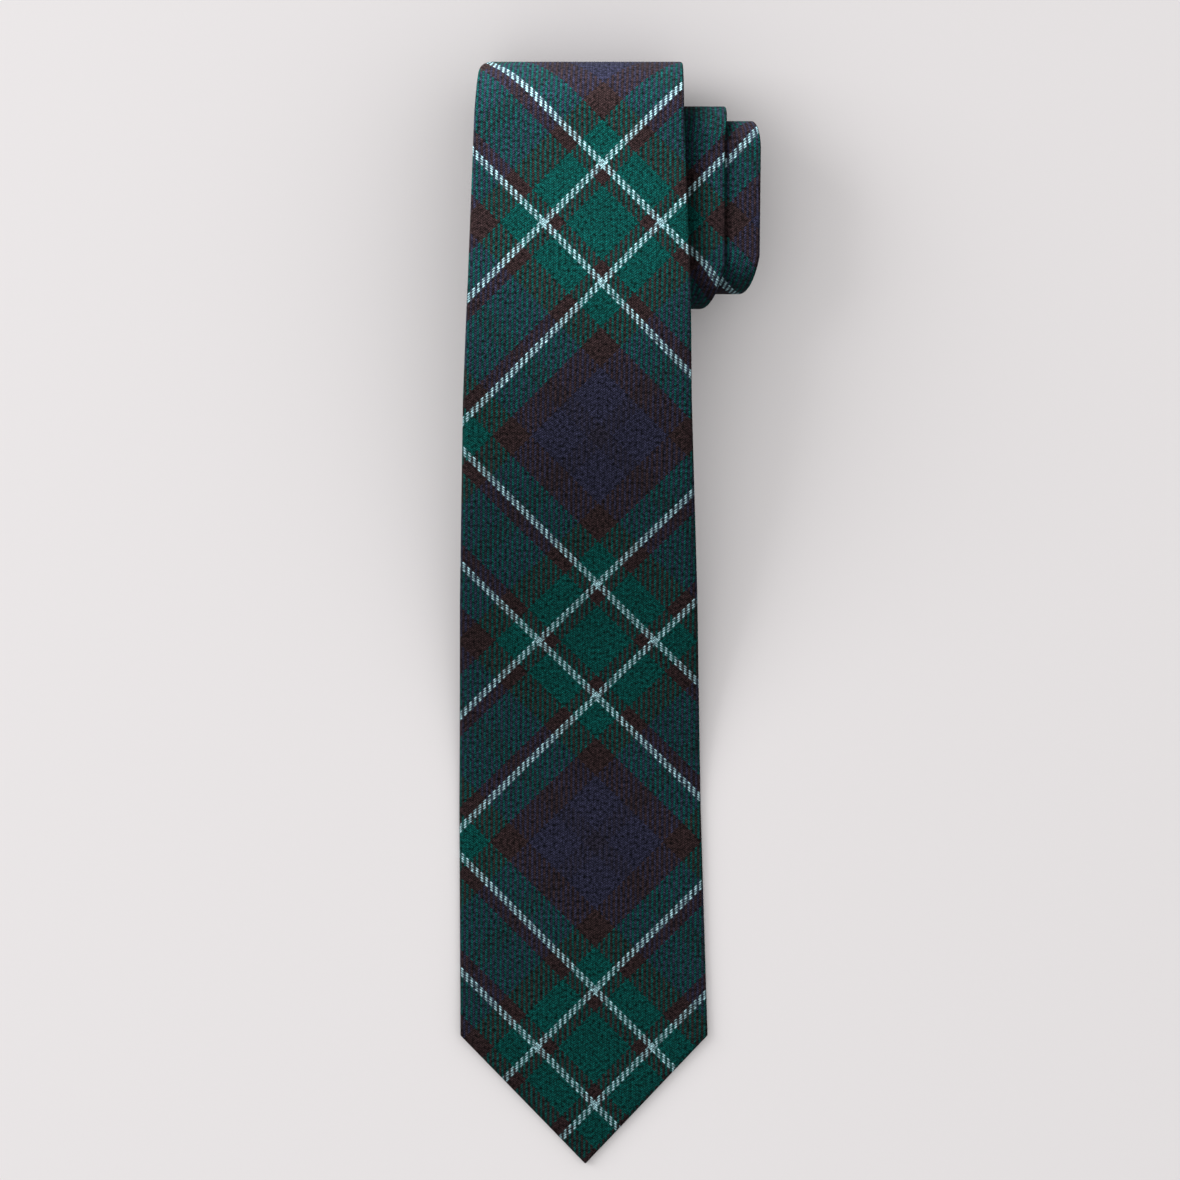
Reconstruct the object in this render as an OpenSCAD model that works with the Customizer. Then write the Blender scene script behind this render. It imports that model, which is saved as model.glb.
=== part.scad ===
// Rolled necktie: a lined, bias-cut tartan tie wound into a flat coil, with its front blade
// leaving the top of the coil and lying down on the table. Millimetres, +Z up, the point of
// the blade towards -Y, origin under the middle of the whole object.

/* [Blade] */
// Greatest width of the front blade, at its shoulders
blade_width = 80; // [66:1:96]
// Length of the pointed end, from its point to the shoulders
point_length = 41; // [34:1:50]
// Distance from the point of the blade to the middle of the coil, along the table
blade_reach = 309; // [280:1:380]
// Distance from the point to the crease of the tip
tip_crease = 114; // [100:1:136]
// Distance from the point to the crease at the middle of the blade
blade_crease = 196; // [165:1:235]

/* [Neck and tail] */
// Width of the neck part
neck_width = 35; // [28:1:42]
// Greatest width of the tail
tail_width = 42; // [34:1:50]
// Length of the pointed end of the tail
tail_point_length = 21; // [17:1:24]

/* [Coil] */
// Length of the coil along the blade, over its outermost turn
coil_length = 91; // [76:1:110]
// Number of half turns in the coil
half_turns = 16; // [14:2:18]
// Rise between two turns lying on each other
turn_rise = 2.0; // [1.95:0.05:2.4]
// Distance between two turns at the ends of the coil
turn_spread = 4.75; // [3.9:0.05:5.2]
// Turns over which the ends of the coil draw in, before the core keeps one length
drawn_turns = 5; // [4:1:6]
// Length of the ramp on which the blade comes down from the coil
ramp_length = 170; // [145:1:205]

/* [Cloth] */
// Thickness of the woollen shell cloth
cloth = 0.4; // [0.3:0.05:0.45]
// Thickness of the interlining
interlining = 0.8; // [0.6:0.05:0.85]
// Thickness of the satin tipping behind each point
tipping = 0.25; // [0.15:0.05:0.35]
// Air between two layers of one stretch of tie
layer_gap = 0.05; // [0.03:0.01:0.06]
// Gap between the two folded edges at the back seam
seam_gap = 0.8; // [0.6:0.1:1.2]
// Width of the hem that is turned back around each point
hem = 12; // [9:1:14]
// Distance from the point of the blade to where the back edges meet
back_opening = 98; // [84:1:108]
// Distance from the point of the tail to where its back edges meet
tail_opening = 40; // [34:1:48]

/* [Keeper and label] */
// Distance from the point of the blade to the middle of the keeper loop
keeper_place = 257; // [250:1:262]
// Width of the keeper loop's band
keeper_band = 12; // [10:1:14]
// Length of the keeper loop between its sewn ends
keeper_span = 40; // [34:1:46]
// Height of the keeper loop's bow, inside
keeper_bow = 8.5; // [7.5:0.5:9.5]
// Length of each sewn end of the keeper loop
keeper_tab = 5; // [4:1:6]
// Thickness of the folded keeper band
keeper_thickness = 0.8; // [0.6:0.1:1]
// Distance from the point of the blade to the lower edge of the care label
label_place = 215; // [206:1:222]
// Size of the care label across the tie
label_width = 30; // [24:1:36]
// Size of the care label along the tie
label_length = 22; // [18:1:26]

/* [Hidden] */

blunt = 2 * cloth + 0.4;                  // width left at the very end of each point
body_gap = 0.3;                           // gap between two bodies at a crease
piece_gap = 0.1;                          // gap between two pieces of one body
tie = 2 * cloth + interlining + 2 * layer_gap;
cap_steps = 9;                            // flats on each round end of a turn
ramp_steps = 14;
label_cloth = 0.25;
thread = 0.3;
stitch_length = 6;
stitch_pitch = 12;
bias = 0.8;                               // slant of the joins between lengths of shell cloth

// ---- the coil's shape, as a function of the turns already made ----
turns = half_turns / 2;
core_rise = 1.65;                         // half the rise left inside the last turn
function turn_height(turn) = core_rise + turn_rise * (turns - turn);
coil_middle = tie / 2 + turn_height(0.5);
first_flat = coil_length / 2 - tie / 2 - turn_height(0.25) + (turn_spread - turn_rise) * 0.25;
function turn_flat(turn) = first_flat - (turn_spread - turn_rise) * min(turn, drawn_turns);

// Sideways place of each turn: the inner turns have slid out to the right.
turn_shift = [[0, 0], [1, 4], [2, 12], [3, 29], [4, 39.5], [5, 38], [6, 36], [9, 33]];
edge_dip = 4.5;
function coil_shift(turn) =
    lookup(turn, turn_shift) - edge_dip * (1 - cos(360 * turn)) / 2 * min(turn / 2, 1);

// ---- the middle line of the tie, from the point of the blade to the point of the tail ----
top_flat = turn_flat(1);
top_height = coil_middle + turn_height(0);
function ease(u) = u * u * (3 - 2 * u);
function ease_slope(u) = 6 * u * (1 - u);
ramp_rise = top_height - tie / 2;

// Each entry is [y, z, turns made, direction].
blade_line = concat(
    [[-blade_reach, tie / 2, 0, 0]],
    [for (i = [0:ramp_steps]) let (u = i / ramp_steps)
        [-top_flat - ramp_length * (1 - u), tie / 2 + ramp_rise * ease(u), 0,
         atan(ramp_rise * ease_slope(u) / ramp_length)]]
);
coil_line = [for (h = [0:half_turns - 1], i = [0:cap_steps])
    let (a = 180 * (h + i / cap_steps), turn = a / 360, side = h % 2 == 0 ? 1 : -1)
        [side * turn_flat(turn) + turn_height(turn) * sin(a),
         coil_middle + turn_height(turn) * cos(a), turn, -a]];
tail_end = [[-turn_flat(turns) + tail_point_length + 2,
             coil_middle + turn_height(turns), turns, -360 * turns]];
line = concat(blade_line, coil_line, tail_end);

function step(i) = i + 1 < len(line)
    ? norm([line[i + 1][0] - line[i][0], line[i + 1][1] - line[i][1]]) : 0;
run = [for (i = 0, s = 0; i < len(line); s = s + step(i), i = i + 1) s];
function track(k) = [for (i = [0:len(line) - 1]) [run[i], line[i][k]]];
y_track = track(0);
z_track = track(1);
turn_track = track(2);
direction_track = track(3);
tie_length = run[len(run) - 1];

// Distance along the tie at which the coil has made this many half turns and is at mid flat
function coil_run(half) =
    let (first = len(blade_line) + half * (cap_steps + 1)) (run[first - 1] + run[first]) / 2;
coil_start = run[len(blade_line) - 1];
neck_join = coil_run(3);
core_cut = coil_run(5);
tail_join = coil_run(7);

// ---- widths, sideways place and back opening along the tie ----
width_track = [
    [0, blunt], [point_length, blade_width], [184, 0.955 * blade_width],
    [285, 0.888 * blade_width], [360, 0.815 * blade_width], [500, 0.71 * blade_width],
    [neck_join, 1.45 * neck_width], [core_cut, neck_width], [tail_join, neck_width],
    [tie_length - 150, tail_width], [tie_length - tail_point_length, tail_width],
    [tie_length, blunt]
];
function half_width(s) = lookup(s, width_track) / 2;
blade_drift = [[0, 1.9], [point_length, 1.5], [tip_crease, 0.2], [250, -0.6], [coil_start, 0]];
function shift(s) = s < coil_start
    ? lookup(s, blade_drift) : coil_shift(lookup(s, turn_track));
slit = seam_gap / 2;
hem_across = hem * 1.4;
opening_track = [
    [0, slit], [hem_across, slit], [point_length, blade_width / 2 - hem_across],
    [back_opening, slit], [tie_length - tail_opening, slit],
    [tie_length - tail_point_length, tail_width / 2 - hem_across * 0.6],
    [tie_length - hem_across * 0.6, slit], [tie_length, slit]
];
function half_opening(s) = lookup(s, opening_track);
marks = [
    hem_across, point_length, back_opening, 184, 285, 500,
    tie_length - tail_opening, tie_length - tail_point_length, tie_length - hem_across * 0.6
];

// ---- the middle of the whole object, which the origin lies under ----
all_runs = concat(run, [point_length]);
x_middle = (max([for (s = all_runs) shift(s) + half_width(s)])
    + min([for (s = all_runs) shift(s) - half_width(s)])) / 2;
outer_end = max([for (i = [0:len(line) - 1])
    line[i][0] - sin(line[i][3]) * tie / 2]);
y_middle = (outer_end - blade_reach) / 2;

// A point of the tie: s along it, u across it and v out of its face side.
function place(s, u, v) =
    let (a = lookup(s, direction_track))
        [u + shift(s) - x_middle,
         lookup(s, y_track) - v * sin(a) - y_middle,
         lookup(s, z_track) + v * cos(a)];

// Places along a stretch at which it needs a section, including the marks within it
function stretch(from, to) = concat(
    [from],
    [for (i = [0:len(run) - 2]) each concat(
        run[i] > from + 1 && run[i] < to - 1 ? [run[i]] : [],
        [for (m = marks)
            if (m > run[i] + 0.5 && m < run[i + 1] - 0.5 && m > from + 1 && m < to - 1) m])],
    [to]
);

// A solid through the sections of a stretch; its ends are closed by the quads in caps.
module sweep(sections, caps) {
    n = len(sections[0]);
    last = (len(sections) - 1) * n;
    points = [for (section = sections) each section];
    sides = [for (k = [0:len(sections) - 2], j = [0:n - 1])
        let (a = k * n + j, b = k * n + (j + 1) % n)
            each [[a, b, a + n], [b, b + n, a + n]]];
    ends = [for (c = caps) each [
        [c[0], c[3], c[2], c[1]], [last + c[0], last + c[1], last + c[2], last + c[3]]]];
    polyhedron(points, concat(sides, ends), convexity = 20);
}

// Shell cloth: face side, both folded sides and the two back panels with the seam between them.
// lean_from and lean_to slant the two ends across the tie, as a bias join does.
module shell(from, to, lean_from = 0, lean_to = 0) {
    runs = stretch(from, to);
    top = tie / 2;
    sections = [for (s = runs)
        let (w = half_width(s), g = half_opening(s),
             lean = s == from ? lean_from : s == to ? lean_to : 0)
            [for (p = [
                [-w, -top], [-g, -top], [-g, cloth - top], [cloth - w, cloth - top],
                [cloth - w, top - cloth], [w - cloth, top - cloth], [w - cloth, cloth - top],
                [g, cloth - top], [g, -top], [w, -top], [w, top], [-w, top]])
                place(s + lean * p[0], p[0], p[1])]];
    sweep(sections, [[0, 1, 2, 3], [0, 3, 4, 11], [4, 5, 10, 11], [5, 6, 9, 10], [6, 7, 8, 9]]);
}

// A flat layer between two heights over the middle line, as wide as half_size gives
module layer(from, to, low, high, half_size) {
    sections = [for (s = stretch(from, to))
        let (w = half_size(s))
            [place(s, -w, low), place(s, w, low), place(s, w, high), place(s, -w, high)]];
    sweep(sections, [[0, 1, 2, 3]]);
}

inside = tie / 2 - cloth - layer_gap;     // height of the room inside the shell, each way
side_room = cloth + 0.2;
inset = function (s) half_width(s) - side_room;
tipping_size = function (s)
    min(half_opening(s) + 5, half_width(s) - side_room);

module inner(from, to, low = -inside) color("linen") layer(from, to, low, inside, inset);

over_tipping = -inside + tipping + layer_gap;
lining_end = tie_length - tail_opening - 8;

module shell_tip() color("darkgreen") shell(0, tip_crease - body_gap / 2);
module shell_middle() color("darkgreen")
    shell(tip_crease + body_gap / 2, blade_crease - body_gap / 2);
module shell_upper() color("darkgreen")
    shell(blade_crease + body_gap / 2, coil_start - body_gap / 2);
module shell_roll() color("darkgreen")
    shell(coil_start + body_gap / 2, neck_join - piece_gap / 2, lean_to = bias);
module neck_shell_roll() color("darkslategray")
    shell(neck_join + piece_gap / 2, core_cut - body_gap / 2, lean_from = bias);
module neck_shell_core() color("darkslategray")
    shell(core_cut + body_gap / 2, tail_join - piece_gap / 2, lean_to = bias);
module tail_shell_core() color("darkgreen")
    shell(tail_join + piece_gap / 2, tie_length, lean_from = bias);

module interlining_tip() inner(3, tip_crease - body_gap / 2, over_tipping);
module interlining_middle() inner(tip_crease + body_gap / 2, blade_crease - body_gap / 2);
module interlining_upper() inner(blade_crease + body_gap / 2, coil_start - body_gap / 2);
module interlining_roll() inner(coil_start + body_gap / 2, core_cut - body_gap / 2);
module interlining_core() inner(core_cut + body_gap / 2, lining_end);

module blade_tipping() color("midnightblue")
    layer(hem_across - 6, back_opening + 6, -inside, -inside + tipping, tipping_size);
module tail_tipping() color("midnightblue")
    layer(lining_end + piece_gap, tie_length - 4, -inside, -inside + tipping, tipping_size);

// A child drawn at s along the tie with +X across it, +Y along it and +Z out of its face side
module at(s) {
    translate(place(s, 0, 0)) rotate([lookup(s, direction_track), 0, 0]) children();
}

module bar(size, height) translate([0, 0, height + size[2] / 2]) cube(size, center = true);

// Thread bar that holds the back edges together where the opening ends
bar_height = 1.2;
function bar_room(s) = min(half_opening(s - bar_height / 2), half_opening(s + bar_height / 2));
module bar_tack(s) color("black")
    at(s) bar([2 * bar_room(s) - 0.3, bar_height, thread], -tie / 2 + 0.03);
module blade_bar_tack() bar_tack(back_opening - 8);
module tail_bar_tack() bar_tack(tie_length - tail_opening + 6);

// Slip stitches along the back seam
module seam_stitches(from, to) color("black")
    for (s = [from + stitch_pitch / 2 : stitch_pitch : to - stitch_pitch / 2])
        at(s) bar([seam_gap / 2, stitch_length, thread], -tie / 2 + 0.05);
module seam_stitches_middle() seam_stitches(tip_crease, blade_crease);
module seam_stitches_upper() seam_stitches(blade_crease, coil_start);
// Inside the coil only the flats are stitched through straight enough to show
module flat_stitches(first, last) color("black")
    for (half = [first:last], offset = [-stitch_pitch / 2, stitch_pitch / 2])
        at(coil_run(half) + offset) bar([seam_gap / 2, stitch_length, thread], -tie / 2 + 0.05);
module seam_stitches_roll() flat_stitches(1, 4);
module seam_stitches_core() flat_stitches(6, half_turns - 1);

// Keeper loop: a bowed band of shell cloth with a sewn tab at each end
module keeper_loop() {
    radius = (pow(keeper_span / 2, 2) + pow(keeper_bow, 2)) / (2 * keeper_bow);
    color("darkgreen") at(keeper_place)
        translate([0, keeper_band / 2, -tie / 2 - layer_gap]) rotate([90, 0, 0])
            linear_extrude(keeper_band) {
                intersection() {
                    translate([0, radius - keeper_bow]) difference() {
                        circle(radius + keeper_thickness, $fn = 180);
                        circle(radius, $fn = 180);
                    }
                    translate([-keeper_span, -2 * keeper_bow])
                        square([2 * keeper_span, 2 * keeper_bow]);
                }
                for (side = [-1, 1])
                    translate([side * (keeper_span + keeper_tab) / 2, -keeper_thickness / 2])
                        square([keeper_tab + 1, keeper_thickness], center = true);
            }
}
module keeper_stitches() color("black")
    for (side = [-1, 1])
        at(keeper_place) translate([side * (keeper_span + keeper_tab) / 2, 0, 0])
            bar([1.2, keeper_band - 2, thread],
                -tie / 2 - layer_gap - keeper_thickness - 0.02 - thread);

label_size = function (s) label_width / 2;
label_top = -tie / 2 - layer_gap;
module care_label() color("white")
    layer(label_place, label_place + label_length, label_top - label_cloth, label_top, label_size);
module label_stitches() color("black")
    for (side = [-1, 1], end = [1.5, label_length - 1.5])
        at(label_place + end) translate([side * (label_width / 2 - 3), 0, 0])
            bar([3, 0.6, thread], label_top - label_cloth - 0.1 - thread);

shell_tip();
shell_middle();
shell_upper();
shell_roll();
neck_shell_roll();
neck_shell_core();
tail_shell_core();
interlining_tip();
interlining_middle();
interlining_upper();
interlining_roll();
interlining_core();
blade_tipping();
tail_tipping();
keeper_loop();
keeper_stitches();
care_label();
label_stitches();
blade_bar_tack();
tail_bar_tack();
seam_stitches_middle();
seam_stitches_upper();
seam_stitches_roll();
seam_stitches_core();
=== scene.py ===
"""Rolled tartan necktie: cloth, lining, seams and thread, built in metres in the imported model's frame."""
import math

import bpy
import numpy as np
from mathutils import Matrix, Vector


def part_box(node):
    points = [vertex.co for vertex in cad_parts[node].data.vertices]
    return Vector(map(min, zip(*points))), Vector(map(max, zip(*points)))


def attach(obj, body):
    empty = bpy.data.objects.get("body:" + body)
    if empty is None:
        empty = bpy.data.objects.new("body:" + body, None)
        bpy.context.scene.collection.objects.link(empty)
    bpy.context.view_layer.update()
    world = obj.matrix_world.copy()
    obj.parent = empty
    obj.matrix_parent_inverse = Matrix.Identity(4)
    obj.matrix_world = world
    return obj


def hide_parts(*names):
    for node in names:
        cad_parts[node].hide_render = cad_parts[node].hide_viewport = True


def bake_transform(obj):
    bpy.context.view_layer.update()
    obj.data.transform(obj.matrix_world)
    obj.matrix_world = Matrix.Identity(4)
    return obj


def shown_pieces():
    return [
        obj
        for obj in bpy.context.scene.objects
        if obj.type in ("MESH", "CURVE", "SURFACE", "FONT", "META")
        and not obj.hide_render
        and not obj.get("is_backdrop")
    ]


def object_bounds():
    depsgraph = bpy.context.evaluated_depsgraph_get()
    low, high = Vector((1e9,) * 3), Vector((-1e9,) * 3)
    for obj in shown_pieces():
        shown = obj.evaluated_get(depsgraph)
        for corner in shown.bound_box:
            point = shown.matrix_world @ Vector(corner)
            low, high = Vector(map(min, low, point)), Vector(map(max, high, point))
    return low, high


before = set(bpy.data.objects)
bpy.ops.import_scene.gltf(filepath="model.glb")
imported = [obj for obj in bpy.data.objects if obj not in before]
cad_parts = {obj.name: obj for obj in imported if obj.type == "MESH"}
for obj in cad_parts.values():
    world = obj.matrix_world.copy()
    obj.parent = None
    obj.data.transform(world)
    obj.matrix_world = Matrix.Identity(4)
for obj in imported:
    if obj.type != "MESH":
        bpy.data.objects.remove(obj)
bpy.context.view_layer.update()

MM = 0.001

# ---- driving sizes of the tie, in millimetres ----
BLADE_WIDTH = 80
POINT_LENGTH = 41
BLADE_REACH = 309           # from the point of the blade to the middle of the coil
TIP_CREASE = 114
NECK_WIDTH = 35
TAIL_WIDTH = 42
TAIL_POINT_LENGTH = 21
COIL_LENGTH = 91
HALF_TURNS = 16
TURN_RISE = 2.0
TURN_SPREAD = 4.75
DRAWN_TURNS = 5
RAMP_LENGTH = 170           # stretch over which the blade climbs from the floor to the top of the coil
CORE_RISE = 1.65            # half the height left inside the last turn
CLOTH = 0.4
TIPPING_CLOTH = 0.25
CROWN = 0.35                # how much the middle of the blade stands above its edges
CORNER_DRAW = 3.6           # how far the blade's left edge draws in at the top of the coil
TIE = 1.7                   # thickness of the finished tie
SEAM_GAP = 0.5
LAYER_GAP = 0.05
SIDE_ROOM = 0.2             # between the lining's edge and the shell's fold
HEM = 12
HEM_ACROSS = HEM * 1.4      # the hem's width measured straight across the tie
BLUNT = 1.2                 # width left at the very end of each point
BACK_OPENING = 98
TAIL_OPENING = 40
KEEPER_PLACE = 257
KEEPER_BAND = 12
KEEPER_SPAN = 40
KEEPER_BOW = 8.5
KEEPER_TAB = 5
KEEPER_CLOTH = 0.8
LABEL_PLACE = 215
LABEL_WIDTH = 30
LABEL_LENGTH = 22
LABEL_CLOTH = 0.25
STITCH_PITCH = 12.0
THREAD_RADIUS = 0.15
TACK_WIDTH = 3.4
BIAS = 0.8                  # slant of the joins between lengths of shell cloth
SLANT_REACH = 40            # how far from a join its slant fades out
HALF = TIE / 2

# ---- the middle line of the tie ----
TURNS = HALF_TURNS / 2
CAP_STEPS = 24
RAMP_STEPS = 60
RING_STEP = 3.0             # longest distance between two rings of a cloth piece


def turn_height(turn):
    return CORE_RISE + TURN_RISE * (TURNS - turn)


COIL_MIDDLE = HALF + turn_height(0.5)
FIRST_FLAT = COIL_LENGTH / 2 - HALF - turn_height(0.25) + (TURN_SPREAD - TURN_RISE) * 0.25


def turn_flat(turn):
    return FIRST_FLAT - (TURN_SPREAD - TURN_RISE) * min(turn, DRAWN_TURNS)


def middle_line():
    """Rows of [y, z, turns made, direction] from the point of the blade to the point of the tail."""
    top_flat = turn_flat(1)
    rise = COIL_MIDDLE + turn_height(0) - HALF
    rows = [(-BLADE_REACH, HALF, 0, 0)]
    for u in np.linspace(0, 1, RAMP_STEPS + 1):
        slope = rise * 6 * u * (1 - u) / RAMP_LENGTH
        climb = rise * u * u * (3 - 2 * u)
        rows.append((-top_flat - RAMP_LENGTH * (1 - u), HALF + climb, 0, math.atan(slope)))
    for half in range(HALF_TURNS):
        side = 1 if half % 2 == 0 else -1
        for a in np.linspace(math.pi * half, math.pi * (half + 1), CAP_STEPS + 1):
            turn = a / math.tau
            rows.append((
                side * turn_flat(turn) + turn_height(turn) * math.sin(a),
                COIL_MIDDLE + turn_height(turn) * math.cos(a), turn, -a,
            ))
    rows.append((-turn_flat(TURNS) + TAIL_POINT_LENGTH + 2, rows[-1][1], TURNS, rows[-1][3]))
    return np.array(rows)


LINE = middle_line()
RUN = np.concatenate([[0], np.cumsum(np.hypot(np.diff(LINE[:, 0]), np.diff(LINE[:, 1])))])
TIE_LENGTH = RUN[-1]
COIL_START = RUN[RAMP_STEPS + 1]


def coil_run(half):
    """Distance along the tie to the middle of the flat that begins this half turn."""
    first = RAMP_STEPS + 2 + half * (CAP_STEPS + 1)
    return (RUN[first - 1] + RUN[first]) / 2


NECK_JOIN = coil_run(3)
CORE_CUT = coil_run(5)
TAIL_JOIN = coil_run(7)

# Whole width at places along the tie, and half the width of the back's opening
WIDTHS = np.array([
    (0, BLUNT), (POINT_LENGTH, BLADE_WIDTH), (184, 0.955 * BLADE_WIDTH), (285, 0.888 * BLADE_WIDTH),
    (360, 0.815 * BLADE_WIDTH), (500, 0.71 * BLADE_WIDTH), (NECK_JOIN, 1.45 * NECK_WIDTH),
    (CORE_CUT, NECK_WIDTH), (TAIL_JOIN, NECK_WIDTH), (TIE_LENGTH - 150, TAIL_WIDTH),
    (TIE_LENGTH - TAIL_POINT_LENGTH, TAIL_WIDTH), (TIE_LENGTH, BLUNT),
])
OPENINGS = np.array([
    (HEM_ACROSS, SEAM_GAP / 2), (POINT_LENGTH, BLADE_WIDTH / 2 - HEM_ACROSS),
    (BACK_OPENING, SEAM_GAP / 2), (TIE_LENGTH - TAIL_OPENING, SEAM_GAP / 2),
    (TIE_LENGTH - TAIL_POINT_LENGTH, TAIL_WIDTH / 2 - HEM_ACROSS * 0.6),
    (TIE_LENGTH - HEM_ACROSS * 0.6, SEAM_GAP / 2),
])
# Sideways place of the blade by its run, and of the coil by the turns made
DRIFT = np.array([(0, 1.9), (POINT_LENGTH, 1.5), (TIP_CREASE, 0.2), (250, -0.6), (COIL_START, 0)])
TURN_SHIFT = np.array([(0, 0), (1, 4), (2, 12), (3, 29), (4, 39.5), (5, 38), (6, 36), (9, 33)])
EDGE_DIP = 4.5              # how far a drawn turn slides back at its lower end


def half_width(s):
    return np.interp(s, WIDTHS[:, 0], WIDTHS[:, 1]) / 2


def half_opening(s):
    return np.interp(s, OPENINGS[:, 0], OPENINGS[:, 1])


def shift(s):
    """Sideways place of the tie's middle: a slight drift in the blade, then the turns that slid out."""
    turn = np.interp(s, RUN, LINE[:, 2])
    dip = EDGE_DIP * (1 - np.cos(math.tau * turn)) / 2 * np.minimum(turn / 2, 1)
    coiled = np.interp(turn, TURN_SHIFT[:, 0], TURN_SHIFT[:, 1]) - dip
    return np.where(s < COIL_START, np.interp(s, DRIFT[:, 0], DRIFT[:, 1]), coiled)


# The frame's own box says where the point of the blade and its left shoulder lie.
TIP_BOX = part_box("shell_tip")
Y_POINT = TIP_BOX[0][1] / MM + BLADE_REACH
X_MIDDLE = TIP_BOX[0][0] / MM - (shift(POINT_LENGTH) - BLADE_WIDTH / 2)


def place(s, u, v):
    """Points in the frame, in metres: s along the tie, u across it and v out of its face side."""
    a = np.interp(s, RUN, LINE[:, 3])
    x = u + shift(s) + X_MIDDLE
    y = np.interp(s, RUN, LINE[:, 0]) - v * np.sin(a) + Y_POINT
    z = np.interp(s, RUN, LINE[:, 1]) + v * np.cos(a)
    return np.stack(np.broadcast_arrays(x, y, z), axis=-1) * MM


# ---- materials ----
THREAD_PITCH = 0.55         # between two neighbouring threads of the wool
HALF_SETT = 86              # threads from the middle of a green stripe to the middle of a dark one
# First thread of each stripe, from the middle of the green one outwards, and its colour
STRIPES = [
    (0, "green"), (15, "black"), (22, "white"), (26, "green"), (42, "black"), (58, "navy"), (81, "ink"),
]
# Colours in linear light
WOOL = {
    "green": (0.0006, 0.027, 0.024),
    "black": (0.0125, 0.0072, 0.0075),
    "white": (0.125, 0.21, 0.23),
    "navy": (0.0098, 0.0100, 0.0205),
    "ink": (0.0090, 0.0080, 0.0138),
}


def new_material(name, roughness, specular):
    material = bpy.data.materials.new(name)
    material.use_nodes = True
    shader = material.node_tree.nodes["Principled BSDF"]
    shader.inputs["Roughness"].default_value = roughness
    shader.inputs["Specular IOR Level"].default_value = specular
    return material, material.node_tree, shader


def feed(tree, value, socket):
    if isinstance(value, bpy.types.NodeSocket):
        tree.links.new(value, socket)
    else:
        socket.default_value = value


def calc(tree, operation, a, b=0.0):
    """The result of one Math node, whose inputs are numbers or other nodes' outputs."""
    node = tree.nodes.new("ShaderNodeMath")
    node.operation = operation
    feed(tree, a, node.inputs[0])
    feed(tree, b, node.inputs[1])
    return node.outputs[0]


def mix(tree, factor, a, b, kind="MIX"):
    node = tree.nodes.new("ShaderNodeMix")
    node.data_type = "RGBA"
    node.blend_type = kind
    feed(tree, factor, node.inputs["Factor"])
    feed(tree, a, node.inputs[6])
    feed(tree, b, node.inputs[7])
    return node.outputs[2]


def noise(tree, vector, scale, detail=2.0):
    node = tree.nodes.new("ShaderNodeTexNoise")
    node.inputs["Scale"].default_value = scale
    node.inputs["Detail"].default_value = detail
    tree.links.new(vector, node.inputs["Vector"])
    return node.outputs["Fac"]


def spread(tree, value, low, high):
    """A value from 0 to 1 brought to a range."""
    return calc(tree, "ADD", calc(tree, "MULTIPLY", value, high - low), low)


def cloth_place(tree):
    """A point's place in the cloth, in metres: the whole vector, across it and along it."""
    uv = tree.nodes.new("ShaderNodeUVMap")
    uv.uv_map = "cloth"
    parts = tree.nodes.new("ShaderNodeSeparateXYZ")
    tree.links.new(uv.outputs["UV"], parts.inputs[0])
    return uv.outputs["UV"], parts.outputs["X"], parts.outputs["Y"]


def bump(tree, shader, height, distance, strength):
    node = tree.nodes.new("ShaderNodeBump")
    node.inputs["Distance"].default_value = distance
    node.inputs["Strength"].default_value = strength
    tree.links.new(height, node.inputs["Height"])
    tree.links.new(node.outputs["Normal"], shader.inputs["Normal"])


def stripe_ramp(tree, thread):
    """The colour of a thread by its number; the order of the stripes turns back at each middle."""
    turned = calc(tree, "PINGPONG", calc(tree, "ADD", thread, 0.5), HALF_SETT)
    ramp = tree.nodes.new("ShaderNodeValToRGB")
    ramp.color_ramp.interpolation = "CONSTANT"
    tree.links.new(calc(tree, "DIVIDE", turned, HALF_SETT), ramp.inputs["Fac"])
    elements = ramp.color_ramp.elements
    elements.remove(elements[1])
    for k, (first, colour) in enumerate(STRIPES):
        element = elements[0] if k == 0 else elements.new(first / HALF_SETT)
        element.color = (*WOOL[colour], 1)
    return ramp.outputs["Color"]


def rounded(tree, fraction):
    """1 at the middle of a thread or float and 0 at its sides."""
    centred = calc(tree, "SUBTRACT", calc(tree, "MULTIPLY", fraction, 2.0), 1.0)
    return calc(tree, "SUBTRACT", 1.0, calc(tree, "MULTIPLY", centred, centred))


def thread_height(tree, part, floated, shown):
    """Height of one set of threads: round across, sinking at both ends of each float, 0 where hidden."""
    across = calc(tree, "MULTIPLY", rounded(tree, part), spread(tree, rounded(tree, floated), 0.5, 1.0))
    return calc(tree, "MULTIPLY", across, shown)


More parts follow.
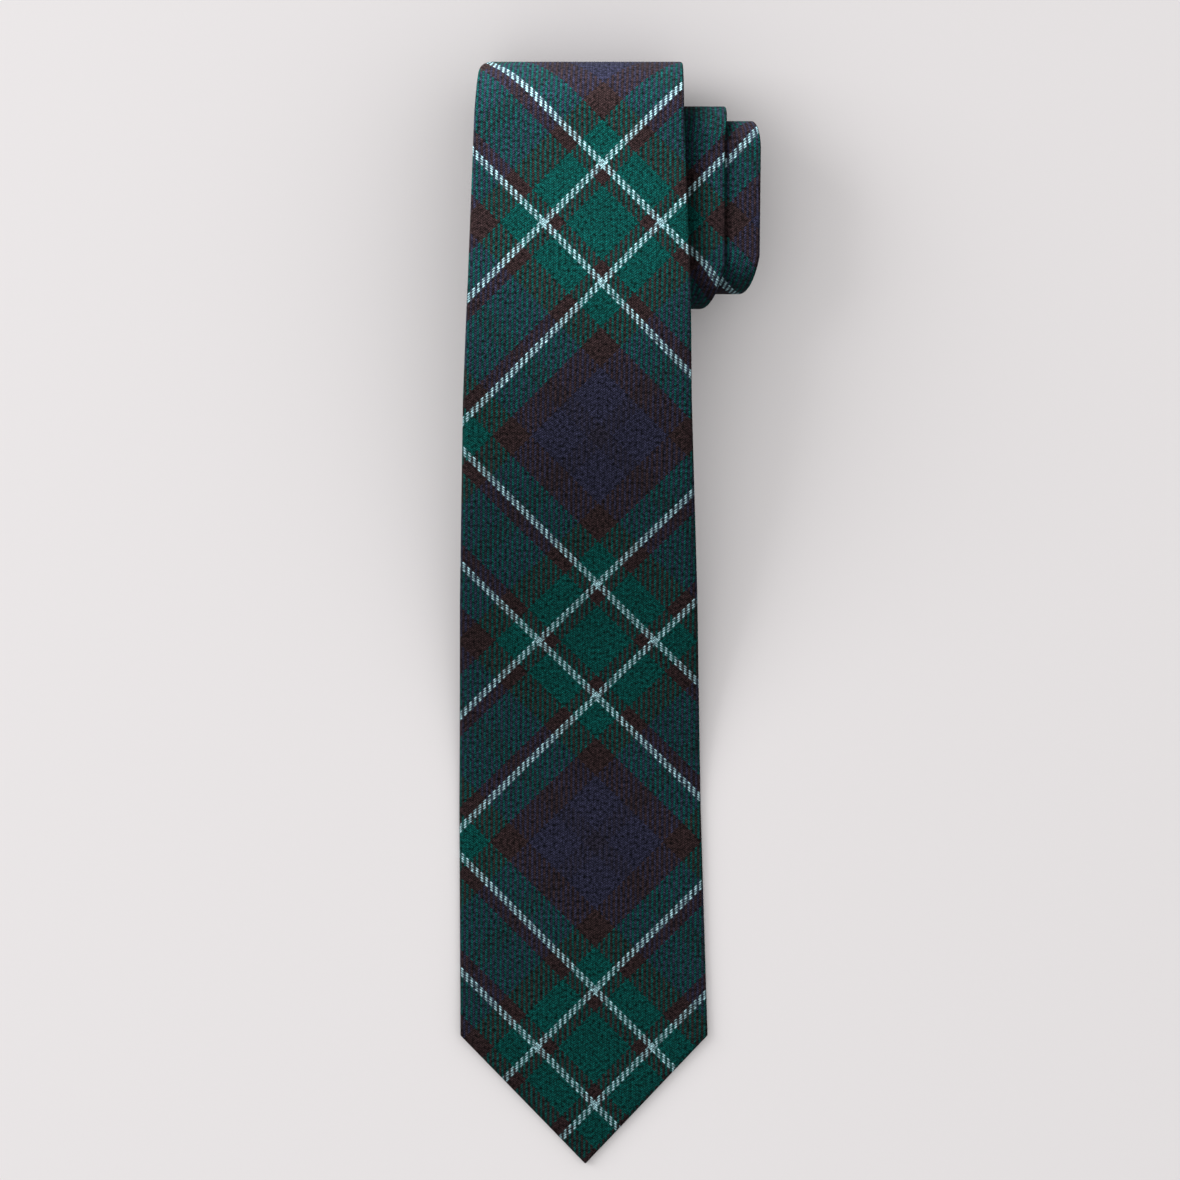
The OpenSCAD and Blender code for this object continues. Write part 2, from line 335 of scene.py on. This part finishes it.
def tartan_material():
    """Wool in 2/2 twill, cut on the bias, so both sets of threads run at 45 degrees to the tie.

    A pick number counts 0 to 3 along each thread: the warp floats over 0 and 1, the weft over 2 and 3.
    """
    material, tree, shader = new_material("tartan_wool", roughness=0.9, specular=0.03)
    vector, x, y = cloth_place(tree)
    per_thread = 1 / (THREAD_PITCH * MM * math.sqrt(2))
    x = calc(tree, "MULTIPLY", x, per_thread)
    y = calc(tree, "MULTIPLY", y, per_thread)
    warp_place, weft_place = calc(tree, "ADD", x, y), calc(tree, "SUBTRACT", x, y)
    warp, weft = calc(tree, "FLOOR", warp_place), calc(tree, "FLOOR", weft_place)
    warp_part = calc(tree, "SUBTRACT", warp_place, warp)
    weft_part = calc(tree, "SUBTRACT", weft_place, weft)
    pick = calc(tree, "FLOORED_MODULO", calc(tree, "ADD", warp, weft), 4.0)
    warp_up = calc(tree, "LESS_THAN", pick, 1.5)
    weft_up = calc(tree, "SUBTRACT", 1.0, warp_up)
    warp_float = calc(tree, "DIVIDE", calc(tree, "ADD", pick, weft_part), 2.0)
    weft_float = calc(tree, "SUBTRACT", calc(tree, "DIVIDE", calc(tree, "ADD", pick, warp_part), 2.0), 1.0)
    high = calc(tree, "ADD", thread_height(tree, warp_part, warp_float, warp_up),
                thread_height(tree, weft_part, weft_float, weft_up))

    # Single fibres, the mixed wool of a yarn, and wide uneven dyeing
    fibres = noise(tree, vector, 2600, 3.0)
    melange = noise(tree, vector, 1000, 3.0)
    clouds = noise(tree, vector, 60)
    warp_share = calc(tree, "ADD", spread(tree, warp_up, 0.03, 0.97), spread(tree, fibres, -0.6, 0.6))
    colour = mix(tree, warp_share, stripe_ramp(tree, weft), stripe_ramp(tree, warp))
    grain = calc(tree, "MAXIMUM", spread(tree, melange, -1.3, 3.3), 0.15)
    # The colour darkens at the sides of each thread and at both ends of each float, following the threads'
    # height: painted shade between the threads. The melange and the wide dyeing vary the tone.
    thread_shade_and_tone = calc(tree, "MULTIPLY", spread(tree, high, 0.2, 1.65), grain)
    thread_shade_and_tone = calc(tree, "MULTIPLY", thread_shade_and_tone, spread(tree, clouds, 0.8, 1.2))
    grey = tree.nodes.new("ShaderNodeCombineColor")
    for channel in grey.inputs:
        tree.links.new(thread_shade_and_tone, channel)
    colour = mix(tree, 1.0, colour, grey.outputs[0], "MULTIPLY")
    tree.links.new(colour, shader.inputs["Base Color"])
    bump(tree, shader, calc(tree, "ADD", high, fibres), distance=0.22 * MM, strength=0.8)
    shader.inputs["Sheen Weight"].default_value = 0.02
    shader.inputs["Sheen Roughness"].default_value = 0.45
    shader.inputs["Sheen Tint"].default_value = (0.75, 0.85, 0.85, 1)
    return material


def woven_material(name, colour, dark, pitch, roughness, specular, slanted=False):
    """A cloth of one colour whose threads are a pitch apart: canvas, or satin where its ribs slant.

    Its threads stand out in their light colour from the dark between them, which is painted shade, over
    soft wide waves; fine and wide noise vary the tone as well.
    """
    material, tree, shader = new_material(name, roughness, specular)
    vector, x, y = cloth_place(tree)
    turns = math.tau / (pitch * MM)
    if slanted:
        ribs = calc(tree, "SINE", calc(tree, "MULTIPLY", calc(tree, "ADD", x, y), turns))
    else:
        across = calc(tree, "SINE", calc(tree, "MULTIPLY", x, turns))
        along = calc(tree, "SINE", calc(tree, "MULTIPLY", y, turns))
        ribs = calc(tree, "MULTIPLY", across, along)
    ribs = calc(tree, "ADD", calc(tree, "MULTIPLY", ribs, 0.5), 0.5)
    # Low between the threads, where the dark colour is painted shade, and low where the noise is low, which
    # is tone.
    level = calc(tree, "ADD", calc(tree, "MULTIPLY", ribs, 0.45),
                 calc(tree, "MULTIPLY", noise(tree, vector, 1800, 3.0), 0.35))
    level = calc(tree, "ADD", level, calc(tree, "MULTIPLY", noise(tree, vector, 90), 0.35))
    tree.links.new(mix(tree, level, (*dark, 1), (*colour, 1)), shader.inputs["Base Color"])
    waves = calc(tree, "MULTIPLY", noise(tree, vector, 55), 6.0)
    bump(tree, shader, calc(tree, "ADD", ribs, waves), distance=0.08 * MM, strength=0.6)
    return material


def thread_material():
    """Twisted sewing thread, darker in the grooves of its twist, a painted shade."""
    material, tree, shader = new_material("sewing_thread", roughness=0.55, specular=0.35)
    where = tree.nodes.new("ShaderNodeTexCoord")
    twist = tree.nodes.new("ShaderNodeTexWave")
    twist.bands_direction = "DIAGONAL"
    twist.inputs["Scale"].default_value = 900
    twist.inputs["Distortion"].default_value = 1.5
    tree.links.new(where.outputs["Object"], twist.inputs["Vector"])
    # The colour in the grooves of the twist is painted shade.
    groove_shade, crest = (0.006, 0.012, 0.014, 1), (0.03, 0.05, 0.055, 1)
    tree.links.new(mix(tree, twist.outputs["Fac"], groove_shade, crest), shader.inputs["Base Color"])
    bump(tree, shader, twist.outputs["Fac"], distance=0.06 * MM, strength=0.7)
    return material


TARTAN = tartan_material()
INTERLINING = woven_material("interlining", (0.72, 0.68, 0.58), (0.45, 0.41, 0.33), pitch=0.9,
                             roughness=0.95, specular=0.1)
SATIN = woven_material("tipping_satin", (0.020, 0.030, 0.070), (0.004, 0.007, 0.020), pitch=0.55,
                       roughness=0.36, specular=0.35, slanted=True)
LABEL = woven_material("label_satin", (0.86, 0.85, 0.81), (0.62, 0.61, 0.57), pitch=0.4,
                       roughness=0.38, specular=0.45, slanted=True)
THREAD = thread_material()


# ---- meshes ----
def add_mesh(name, rings, material, uv_rings=None, caps=None):
    """A closed skin through rings of points; caps lists the polygons that close its first ring."""
    n = len(rings[0])
    last = (len(rings) - 1) * n
    faces = [
        (k * n + j, k * n + (j + 1) % n, (k + 1) * n + (j + 1) % n, (k + 1) * n + j)
        for k in range(len(rings) - 1) for j in range(n)
    ]
    sides = len(faces)
    for cap in caps or [range(n)]:
        faces.append(tuple(reversed(cap)))
        faces.append(tuple(last + i for i in cap))
    return mesh_piece(name, np.concatenate(rings), faces, sides, material, uv_rings)


def mesh_piece(name, points, faces, smooth, material, uv_rings=None):
    """A piece of the tie; only its first faces, as many as smooth says, are shaded smoothly."""
    mesh = bpy.data.meshes.new(name)
    mesh.from_pydata(points.tolist(), [], faces)
    if uv_rings is not None:
        layer = mesh.uv_layers.new(name="cloth")
        corners = np.empty(len(mesh.loops), dtype=np.int32)
        mesh.loops.foreach_get("vertex_index", corners)
        layer.data.foreach_set("uv", np.concatenate(uv_rings).astype(np.float32)[corners].ravel())
    mesh.polygons.foreach_set("use_smooth", [k < smooth for k in range(len(faces))])
    mesh.materials.append(material)
    piece = bpy.data.objects.new(name, mesh)
    bpy.context.scene.collection.objects.link(piece)
    return piece


def runs_between(start, end):
    """Places along the tie: both ends, every bend of its line, every corner of its outline, and steps."""
    shortest, near_end = 0.15, 0.03
    corners = np.concatenate([[start, end], RUN, WIDTHS[:, 0], OPENINGS[:, 0]])
    corners = np.unique(corners[(corners >= start) & (corners <= end)])
    kept = [start]
    for s in corners[1:]:
        if s - kept[-1] < shortest and s < end:
            continue
        parts = max(1, math.ceil((s - kept[-1]) / RING_STEP))
        kept += list(np.linspace(kept[-1], s, parts + 1)[1:])
    # A ring close to each end keeps the shading of the closed end off the cloth beside it.
    return np.sort(np.concatenate([kept, [start + near_end, end - near_end]]))


def corner(s, u):
    """How far the left edge draws in where the cloth turns over the top of the coil."""
    turn = np.interp(s, RUN, LINE[:, 2])
    near_top = math.exp(-((turn - 0.25) / 0.055) ** 2)
    return CORNER_DRAW * near_top * np.clip(-u / half_width(s), 0, 1) ** 3


SIDE_ARC = np.linspace(0, math.pi, 9)[1:-1]
FRONT_POINTS = 14
BACK_POINTS = 9


def cloth_path(s, depth):
    """The folded shell's section at s, from one seam edge round to the other, at a depth in the cloth.

    It gives the points' u and v, and their places across the cloth when it is laid flat.
    """
    w = half_width(s)
    side = min(HALF, 0.8 * w)
    flat = w - side
    front = np.linspace(0, flat, FRONT_POINTS)[1:]
    back = np.linspace(flat, min(half_opening(s), flat), BACK_POINTS)
    crown = CROWN * np.clip((COIL_START - s) / 30, 0, 1) * np.sqrt(1 - (front / w) ** 2) * min(1, w / 12)
    u = np.concatenate([front, flat + (side - depth) * np.sin(SIDE_ARC), back])
    v = np.concatenate([
        HALF - depth + crown, (HALF - depth) * np.cos(SIDE_ARC), np.full(BACK_POINTS, depth - HALF),
    ])
    across = np.concatenate([front, flat + HALF * SIDE_ARC, 2 * flat + HALF * math.pi - back])
    return (np.concatenate([-u[::-1], [0], u]), np.concatenate([v[::-1], [v[0]], v]),
            np.concatenate([-across[::-1], [0], across]))


def ripple(s, u):
    """How far the blade's edges lift off the plain shape, in millimetres."""
    fade = np.clip((COIL_START - 10 - s) / 60, 0, 1)
    edge = (u / (BLADE_WIDTH / 2)) ** 2
    left = 0.45 * (1 + np.sin(s / 23 + 0.6))
    right = 0.35 * (1 + np.sin(s / 31 + 2.1))
    return fade * edge * np.where(u < 0, left, right)


# Where the middles of three green squares come along the blade: the place along the tie, the place
# in the woven pattern, and how far the pattern's axis leans across the tie.
SQUARE_STEP = 2 * HALF_SETT * THREAD_PITCH * math.sqrt(2)
SQUARES = np.array([(37.3, 0, -4.9), (170, SQUARE_STEP, -5.6), (306, 2 * SQUARE_STEP, -7.4)])
# How far the pattern is moved across and along on the other two lengths of cloth
NECK_PATTERN = (21.6, 64.4)
TAIL_PATTERN = (29.9, 57.1)


def pattern_place(s, across, pattern):
    """The tartan's own coordinates, in metres; the blade's cloth is stretched a little along its length."""
    if pattern:
        return np.stack([across + pattern[0], s + pattern[1]], axis=-1) * MM
    along = np.interp(s, SQUARES[:, 0], SQUARES[:, 1])
    along = along + np.minimum(s - SQUARES[0, 0], 0) + np.maximum(s - SQUARES[-1, 0], 0)
    lean = np.interp(s, SQUARES[:, 0], SQUARES[:, 2])
    drift = np.where(s < COIL_START, shift(s), 0)
    return np.stack([across + drift + lean, along], axis=-1) * MM


def shell_piece(name, start, end, pattern=None, lean=(0, 0)):
    """A stretch of the folded shell cloth: a strip with thickness whose two edges meet at the back seam.

    The lean is the slant of the bias join at its start and at its end.
    """
    runs = runs_between(start, end)
    rings, uv_rings, cut_widths = [], [], []
    for s in runs:
        near_start = max(0, 1 - (s - start) / SLANT_REACH)
        near_end = max(0, 1 - (end - s) / SLANT_REACH)
        slant = lean[0] * near_start + lean[1] * near_end
        ring, uv_ring = [], []
        for depth in (0, CLOTH):
            u, v, across = cloth_path(s, depth)
            u = u + corner(s, u)
            along = s + slant * u
            u = u * half_width(along) / half_width(s)
            ring.append(place(along, u, v + ripple(along, u)))
            uv_ring.append(pattern_place(along, across, pattern))
        rings.append(np.concatenate([ring[0], ring[1][::-1]]))
        uv_rings.append(np.concatenate([uv_ring[0], uv_ring[1][::-1]]))
        cut_widths.append(2 * across[-1])
    if start == 0:
        close_point(rings, uv_rings, 0)
    if end == TIE_LENGTH:
        close_point(rings, uv_rings, -1)
    n = len(rings[0])
    caps = [(i, i + 1, n - 2 - i, n - 1 - i) for i in range(n // 2 - 1)]
    piece = add_mesh(name, rings, TARTAN, uv_rings, caps)
    declare_sheet(cut_widths)
    return piece


def close_point(rings, uv_rings, at):
    """Adds a smaller ring past the blunt end, so that the folded point closes with a soft nose."""
    middle = rings[at].mean(axis=0)
    inwards = rings[1].mean(axis=0) if at == 0 else rings[-2].mean(axis=0)
    out = (middle - inwards) / np.linalg.norm(middle - inwards)
    nose = middle + (rings[at] - middle) * 0.4 + out * CLOTH * MM
    rings.insert(0 if at == 0 else len(rings), nose)
    uv_rings.insert(0 if at == 0 else len(uv_rings), uv_rings[at])


def declare_sheet(widths):
    """Takes the widths of the flat cloth a piece was cut from, and keeps nothing of them."""
    widths = np.array(widths)


def layer_piece(name, start, end, low, high, size, material):
    """A flat layer with rounded sides, between two heights over the middle line of the tie."""
    runs = runs_between(start, end)
    middle, half = (low + high) / 2, (high - low) / 2
    across = 13
    rings, uv_rings = [], []
    for s in runs:
        line = np.linspace(-size(s), size(s), across)
        u = np.concatenate([line, [size(s) + 0.7 * half], line[::-1], [-size(s) - 0.7 * half]])
        u = u + corner(s, u)
        v = np.concatenate([np.full(across, high), [middle], np.full(across, low), [middle]])
        rings.append(place(s, u, v + ripple(s, u)))
        uv_rings.append(np.stack([u, np.full(len(u), s)], axis=1) * MM)
    piece = add_mesh(name, rings, material, uv_rings)
    declare_sheet([2 * size(s) for s in runs])
    return piece


def thread_piece(name, paths):
    """Every stitch of one seam, each a short round thread with narrowed ends along its path."""
    sides, narrowed = 6, 0.55
    points, faces = [], []
    for path in paths:
        ahead = np.gradient(path, axis=0)
        ahead /= np.linalg.norm(ahead, axis=1)[:, None]
        across = np.cross(ahead, [0.13, 0.31, 0.94])
        across /= np.linalg.norm(across, axis=1)[:, None]
        third = np.cross(ahead, across)
        first = len(points) * sides
        for k, p in enumerate(path):
            size = THREAD_RADIUS * MM * (narrowed if k in (0, len(path) - 1) else 1)
            points.append([p + size * (math.cos(a) * across[k] + math.sin(a) * third[k])
                           for a in np.arange(sides) * math.tau / sides])
            if k:
                row = first + (k - 1) * sides
                faces += [(row + j, row + (j + 1) % sides, row + sides + (j + 1) % sides, row + sides + j)
                          for j in range(sides)]
        faces.append(tuple(range(first + sides - 1, first - 1, -1)))
        faces.append(tuple(range(len(points) * sides - sides, len(points) * sides)))
    return mesh_piece(name, np.concatenate(points), faces, len(faces), THREAD)


def slip_stitches(start, end):
    """Slanted hand stitches that draw the two folded edges together along the back seam."""
    t = np.linspace(-1, 1, 7)
    return [
        place(s + 2.2 * t, 1.1 * t, -HALF + 0.1 - 0.1 * (1 - t * t))
        for s in np.arange(start + STITCH_PITCH / 2, end - STITCH_PITCH / 3, STITCH_PITCH)
    ]


def short_stitch(s, u, v, along, across, rise=0.1):
    """One stitch about the point (s, u, v), with its half lengths along and across the tie."""
    t = np.linspace(-1, 1, 7)
    return place(s + along * t, u + across * t, v - rise * (1 - t ** 4))


def bar_tack(s):
    """Eight stitches side by side across the end of the back seam."""
    return [short_stitch(s + 0.24 * (k - 3.5), 0, -HALF + 0.1, 0.1, TACK_WIDTH / 2) for k in range(8)]


def bends():
    """A step that bakes a piece's place into its mesh."""
    return lambda piece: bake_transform(piece)


def rides(body):
    return lambda piece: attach(piece, body)


def joins_core(piece):
    y = place(CORE_CUT, 0, 0)[1]
    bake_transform(piece)


def make(piece, follow, *nodes):
    follow(piece)
    if nodes:
        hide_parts(*nodes)
    return piece


# Where one stretch ends and the next begins.
TIP_END = 155
MIDDLE_END = 242
ROLL_START = COIL_START + 22
CORE_IN, CORE_OUT = CORE_CUT - 19, CORE_CUT + 19
TIP_BEND = bends()
BLADE_BEND = bends()
LIFT_BEND = bends()


def shells():
    make(shell_piece("tie_shell_tip", 0, TIP_END), TIP_BEND, "shell_tip")
    make(shell_piece("tie_shell_middle", TIP_END, MIDDLE_END), BLADE_BEND, "shell_middle")
    make(shell_piece("tie_shell_upper", MIDDLE_END, ROLL_START), LIFT_BEND, "shell_upper")
    make(shell_piece("tie_shell_roll", ROLL_START, NECK_JOIN, lean=(0, BIAS)),
         rides("roll"), "shell_roll")
    make(shell_piece("neck_shell_outer", NECK_JOIN, CORE_IN, NECK_PATTERN, (BIAS, 0)),
         rides("roll"), "neck_shell_roll")
    make(shell_piece("neck_shell_bend", CORE_IN, CORE_OUT, NECK_PATTERN), joins_core)
    make(shell_piece("neck_shell_inner", CORE_OUT, TAIL_JOIN, NECK_PATTERN, (0, BIAS)),
         rides("core"), "neck_shell_core")
    make(shell_piece("tail_shell", TAIL_JOIN, TIE_LENGTH, TAIL_PATTERN, (BIAS, 0)),
         rides("core"), "tail_shell_core")


INSIDE = HALF - CLOTH - LAYER_GAP
LINING_END = TIE_LENGTH - TAIL_OPENING - 8


def lining_size(s):
    return float(half_width(s)) - CLOTH - SIDE_ROOM


def tipping_size(s):
    return min(float(half_opening(s)) + 5, lining_size(s))


def lining(name, start, end, follow, *nodes):
    """A stretch of the interlining, which fills the shell; over the tipping it leaves room for it."""
    low = -INSIDE + TIPPING_CLOTH + LAYER_GAP if start < TIP_CREASE else -INSIDE
    piece = layer_piece(name, start, end, low, INSIDE, lining_size, INTERLINING)
    make(piece, follow, *nodes)


def linings():
    lining("lining_tip", 4, TIP_END, TIP_BEND, "interlining_tip")
    lining("lining_middle", TIP_END, MIDDLE_END, BLADE_BEND, "interlining_middle")
    lining("lining_upper", MIDDLE_END, ROLL_START, LIFT_BEND, "interlining_upper")
    lining("lining_roll", ROLL_START, CORE_IN, rides("roll"), "interlining_roll")
    lining("lining_bend", CORE_IN, CORE_OUT, joins_core)
    lining("lining_core", CORE_OUT, LINING_END, rides("core"), "interlining_core")


def tippings():
    for name, start, end, body, node in (
        ("tipping_blade", HEM_ACROSS - 6, BACK_OPENING + 6, "blade_tip", "blade_tipping"),
        ("tipping_tail", LINING_END, TIE_LENGTH - 4, "core", "tail_tipping"),
    ):
        piece = layer_piece(name, start, end, -INSIDE, -INSIDE + TIPPING_CLOTH, tipping_size, SATIN)
        make(piece, rides(body), node)


def hem_stitches(start, end, pitch):
    """Small pick stitches that hold the turned-back hem down on the tipping, on both sides."""
    return [
        short_stitch(s, side * (half_opening(s) - 0.2), CLOTH - HALF - 0.02, 0.35, side * 0.7, 0.5)
        for s in np.arange(start, end, pitch) for side in (-1, 1)
    ]


def threads():
    core_end = TIE_LENGTH - TAIL_OPENING
    make(thread_piece("slip_stitches_middle", slip_stitches(TIP_CREASE + 14, MIDDLE_END)),
         BLADE_BEND, "seam_stitches_middle")
    make(thread_piece("slip_stitches_upper", slip_stitches(MIDDLE_END, ROLL_START)),
         LIFT_BEND, "seam_stitches_upper")
    make(thread_piece("slip_stitches_roll", slip_stitches(ROLL_START, CORE_IN)),
         rides("roll"), "seam_stitches_roll")
    make(thread_piece("slip_stitches_core", slip_stitches(CORE_OUT, core_end)),
         rides("core"), "seam_stitches_core")
    make(thread_piece("hem_stitches_blade", hem_stitches(HEM_ACROSS + 6, BACK_OPENING - 14, 6)),
         rides("blade_tip"))
    make(thread_piece("hem_stitches_tail", hem_stitches(core_end + 9, TIE_LENGTH - HEM_ACROSS * 0.8, 5)),
         rides("core"))
    make(thread_piece("bar_tack_blade", bar_tack(BACK_OPENING - 5)), rides("blade_tip"), "blade_bar_tack")
    make(thread_piece("bar_tack_tail", bar_tack(core_end + 3)), rides("core"), "tail_bar_tack")


def keeper_line():
    """Middle line of the keeper's band across the tie: flat sewn ends and a free bow between them."""
    u = np.concatenate([
        np.linspace(-KEEPER_SPAN / 2 - KEEPER_TAB, -KEEPER_SPAN / 2, 5)[:-1],
        np.linspace(-KEEPER_SPAN / 2, KEEPER_SPAN / 2, 41),
        np.linspace(KEEPER_SPAN / 2, KEEPER_SPAN / 2 + KEEPER_TAB, 5)[1:],
    ])
    inside = np.clip(np.cos(math.pi * np.clip(u / KEEPER_SPAN, -0.5, 0.5)), 0, 1)
    return u, -HALF - LAYER_GAP - KEEPER_CLOTH / 2 - KEEPER_BOW * inside ** 1.2


def keeper():
    """A folded band of the shell cloth with round edges, swept along its bow."""
    u, v = keeper_line()
    walked = np.concatenate([[0], np.cumsum(np.hypot(np.diff(u), np.diff(v)))])
    slope = np.gradient(v, u)
    normal_u, normal_v = -slope / np.hypot(1, slope), 1 / np.hypot(1, slope)
    half_band, half_cloth = KEEPER_BAND / 2, KEEPER_CLOTH / 2
    turn = np.linspace(-math.pi / 2, math.pi / 2, 7)
    reach = half_band - half_cloth
    flat = np.linspace(-reach, reach, 9)[1:-1]
    edge_along, edge_out = reach + half_cloth * np.cos(turn), half_cloth * np.sin(turn)
    flat_out = np.full(len(flat), half_cloth)
    along = np.concatenate([edge_along, flat[::-1], -edge_along, flat])
    out = np.concatenate([edge_out, flat_out, -edge_out, -flat_out])
    rings, uv_rings = [], []
    for k in range(len(u)):
        rings.append(place(KEEPER_PLACE + along, u[k] + out * normal_u[k], v[k] + out * normal_v[k]))
        uv_rings.append(np.stack([np.full(len(along), walked[k]), along + half_band], axis=1) * MM)
    band = add_mesh("keeper_band", rings, TARTAN, uv_rings)
    make(band, rides("blade_upper"), "keeper_loop")
    sewn_u = (KEEPER_SPAN + KEEPER_TAB) / 2
    sewn_v = -HALF - LAYER_GAP - KEEPER_CLOTH + 0.05
    paths = [
        short_stitch(KEEPER_PLACE + row, side * sewn_u, sewn_v, 0.9, side * 0.2, 0.12)
        for side in (-1, 1) for row in np.arange(-4.4, 4.5, 2.2)
    ]
    make(thread_piece("keeper_tacks", paths), rides("blade_upper"), "keeper_stitches")


def care_label():
    """A blank satin ribbon, sewn on with four short stitches near each corner."""
    top = -HALF - LAYER_GAP
    inset = 1.5
    label = layer_piece("label_ribbon", LABEL_PLACE, LABEL_PLACE + LABEL_LENGTH, top - LABEL_CLOTH, top,
                        lambda s: LABEL_WIDTH / 2, LABEL)
    make(label, rides("blade_upper"), "care_label")
    sewn_v = top - LABEL_CLOTH + 0.08
    paths = [
        short_stitch(LABEL_PLACE + end, side * (LABEL_WIDTH / 2 - inset - k), sewn_v, 0.1, 0.45)
        for side in (-1, 1) for end in (inset, LABEL_LENGTH - inset) for k in range(4)
    ]
    make(thread_piece("label_tacks", paths), rides("blade_upper"), "label_stitches")


# ---- floor, light and camera ----
AMBIENT = 0.82              # strength of the even light from all round
KEY_POWER = 22              # watts
COIL_POWER = 4.8
CAMERA_PLACE = (-0.0065, 0.0080, 1.8)
LENS = 169.5                # millimetres, on a 36 mm sensor


def floor():
    """A plain sheet under the lowest point of the tie."""
    mesh = bpy.data.meshes.new("floor")
    size, low = 3.0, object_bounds()[0].z
    corners = [(-size, -size, low), (size, -size, low), (size, size, low), (-size, size, low)]
    mesh.from_pydata(corners, [], [(0, 1, 2, 3)])
    plane = bpy.data.objects.new("floor", mesh)
    bpy.context.scene.collection.objects.link(plane)
    material, _, shader = new_material("floor_paper", roughness=0.9, specular=0.1)
    shader.inputs["Base Color"].default_value = (0.80, 0.775, 0.782, 1)
    mesh.materials.append(material)
    plane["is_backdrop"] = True


def aim(thing, target):
    thing.rotation_mode = "QUATERNION"
    thing.rotation_quaternion = (Vector(target) - thing.location).to_track_quat("-Z", "Y")


def soft_light(name, location, target, size, power):
    data = bpy.data.lights.new(name, "AREA")
    data.size = size
    data.energy = power
    lamp = bpy.data.objects.new(name, data)
    lamp.location = location
    aim(lamp, target)
    bpy.context.scene.collection.objects.link(lamp)
    return lamp


def light_only_the_tie(lamp):
    """The lamp over the coil brightens the cloth and leaves the floor even."""
    lit = bpy.data.collections.new("tie")
    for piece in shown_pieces():
        lit.objects.link(piece)
    lamp.light_linking.receiver_collection = lit


def light_and_camera():
    scene = bpy.context.scene
    scene.view_settings.view_transform = "Standard"
    world = bpy.data.worlds.new("studio")
    scene.world = world
    world.use_nodes = True
    world.node_tree.nodes["Background"].inputs["Color"].default_value = (1, 0.995, 0.99, 1)
    world.node_tree.nodes["Background"].inputs["Strength"].default_value = AMBIENT
    soft_light("key", (-1.9, 0.8, 1.1), target=(0, 0, 0), size=1.3, power=KEY_POWER)
    coil_light = soft_light("coil_light", (-0.15, 0.36, 0.19), target=(0, 0.13, 0.03), size=0.2,
                            power=COIL_POWER)
    light_only_the_tie(coil_light)
    data = bpy.data.cameras.new("camera")
    data.sensor_width = 36
    data.lens = LENS
    camera = bpy.data.objects.new("camera", data)
    camera.location = CAMERA_PLACE
    camera.rotation_euler = (0, 0, 0)
    scene.collection.objects.link(camera)
    scene.camera = camera


shells()
linings()
tippings()
threads()
keeper()
care_label()
floor()
light_and_camera()
